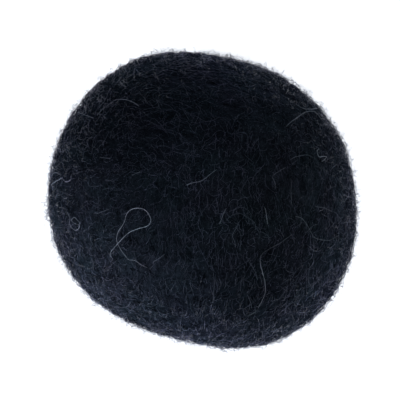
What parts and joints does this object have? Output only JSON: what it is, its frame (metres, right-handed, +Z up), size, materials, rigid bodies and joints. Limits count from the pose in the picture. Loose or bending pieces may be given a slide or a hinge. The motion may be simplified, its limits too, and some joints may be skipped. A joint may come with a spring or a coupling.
{
  "type": "felt ball",
  "caption": "Small solid ball of matted wool, slightly out of round, with a small flat spot to rest on: a bead, garland or craft ball.",
  "frame": {"origin": "on the flat spot that the ball rests on, under the middle of its box", "axes": "+Z up from the flat spot, which is the ball's shortest side; +X along its longest side; the pressed flat side faces mostly -Y"},
  "size_m": [0.022, 0.021, 0.0205],
  "materials": {
    "wool": "matted wool felt, black with a navy cast, dull and hairy"
  },
  "bodies": {
    "root": {"felt_ball": "wool"}
  },
  "joints": []
}
